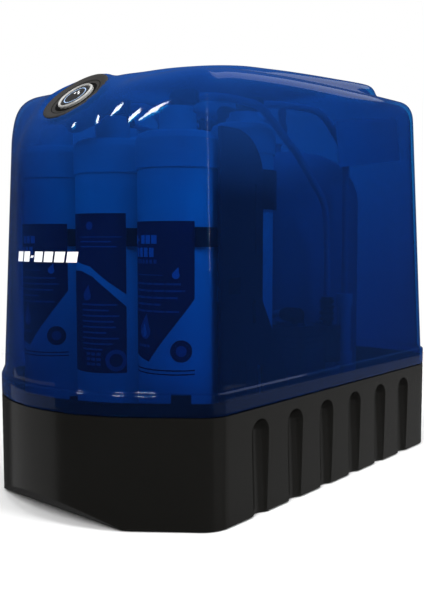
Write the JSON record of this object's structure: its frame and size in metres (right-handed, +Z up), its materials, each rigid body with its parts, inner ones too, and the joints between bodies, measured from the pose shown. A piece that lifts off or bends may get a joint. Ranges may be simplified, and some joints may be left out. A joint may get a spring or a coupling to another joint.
{
  "type": "reverse osmosis unit",
  "caption": "Closed-case household reverse osmosis water purifier with a transparent blue hood over its filter cartridges and storage tank.",
  "frame": {"origin": "on the ground, at the middle of the case's plan", "axes": "+X to the unit's right and +Y to the back, seen from the rounded nose; +Z up"},
  "size_m": [0.2652, 0.4202, 0.3829],
  "materials": {
    "cover_blue": "gloss",
    "base_black": "gloss",
    "rubber_black": "matte",
    "chrome_trim": "polished",
    "bezel_grey": "satin",
    "button_dark": "gloss",
    "housing_white": "satin",
    "label_navy": "matte",
    "label_silver": "matte",
    "clip_black": "matte",
    "chassis_paint": "satin",
    "steel": "brushed",
    "tank_blue": "gloss",
    "bladder_rubber": "matte",
    "valve_white": "satin",
    "lever_blue": "gloss",
    "fitting_black": "satin",
    "fitting_white": "satin",
    "tube_white": "gloss",
    "membrane_film": "matte",
    "pump_head_grey": "satin",
    "winding_steel": "matte",
    "collet_grey": "satin",
    "wire_jacket": "matte"
  },
  "bodies": {
    "base": {"base_tub": "base_black", "carbon_block_filter_body": "housing_white", "carbon_block_filter_caps": "housing_white", "cartridge_labels": "label_navy", "chassis_flanges": "chassis_paint", "chassis_plate": "chassis_paint", "check_valve": "fitting_white", "dc_socket": "fitting_black", "drain_port": "fitting_black", "elbow_fittings": "fitting_black", "feed_port": "fitting_black", "flow_restrictor": "fitting_white", "front_clips": "clip_black", "granular_carbon_filter_body": "housing_white", "granular_carbon_filter_caps": "housing_white", "high_pressure_switch": "fitting_black", "low_pressure_switch": "fitting_black", "machine_screws": "steel", "membrane_element": "membrane_film", "membrane_vessel": "housing_white", "membrane_vessel_caps": "housing_white", "mineral_filter_body": "housing_white", "mineral_filter_caps": "housing_white", "polishing_filter_body": "housing_white", "polishing_filter_caps": "housing_white", "product_port": "fitting_black", "pump_bearings": "steel", "pump_bracket": "steel", "pump_grommets": "rubber_black", "pump_head": "pump_head_grey", "pump_motor": "steel", "rear_clips": "clip_black", "rubber_feet": "rubber_black", "sediment_filter_body": "housing_white", "sediment_filter_caps": "housing_white", "solenoid_valve": "fitting_black", "tank_bladder": "bladder_rubber", "tank_shell": "tank_blue", "tank_stand": "clip_black", "tank_valve": "valve_white", "tube_brine": "tube_white", "tube_feed": "tube_white", "tube_membrane_feed": "tube_white", "tube_permeate": "tube_white", "tube_polishing": "tube_white", "tube_prefilter_links": "tube_white", "tube_product": "tube_white", "tube_pump_feed": "tube_white", "wire_harness": "wire_jacket"},
    "cover": {"cover_shell": "cover_blue", "badge_bezel": "bezel_grey", "timer_housing": "clip_black", "rating_label": "label_silver"},
    "button": {"button_ring": "chrome_trim", "button_disc": "button_dark"},
    "valve_lever": {"tank_valve_lever": "lever_blue"},
    "rotor": {"pump_rotor": "winding_steel"},
    "feed_collet_body": {"feed_collet": "collet_grey"},
    "product_collet_body": {"product_collet": "collet_grey"},
    "drain_collet_body": {"drain_collet": "collet_grey"}
  },
  "joints": [
    {"name": "cover_lift", "type": "slide", "parent": "base", "child": "cover", "axis": [0, 0, 1], "range_m": [0, 0.3]},
    {"name": "badge_button", "type": "slide", "parent": "cover", "child": "button", "axis": [0, 0.6691, -0.7431], "range_m": [0, 0.0015], "stiffness_N_per_m": 300, "springref_m": -0.002},
    {"name": "tank_valve_turn", "type": "hinge", "parent": "base", "child": "valve_lever", "pos_m": [0.0149, 0.098, 0.334], "axis": [1, 0, 0], "range_deg": [0, 90]},
    {"name": "pump_spin", "type": "hinge", "parent": "base", "child": "rotor", "pos_m": [0.098, 0.008, 0.06], "axis": [0, 0, 1], "continuous": true},
    {"name": "feed_collet_press", "type": "slide", "parent": "base", "child": "feed_collet_body", "axis": [0, -1, 0], "range_m": [0, 0.0012]},
    {"name": "product_collet_press", "type": "slide", "parent": "base", "child": "product_collet_body", "axis": [0, -1, 0], "range_m": [0, 0.0012]},
    {"name": "drain_collet_press", "type": "slide", "parent": "base", "child": "drain_collet_body", "axis": [0, -1, 0], "range_m": [0, 0.0012]}
  ]
}
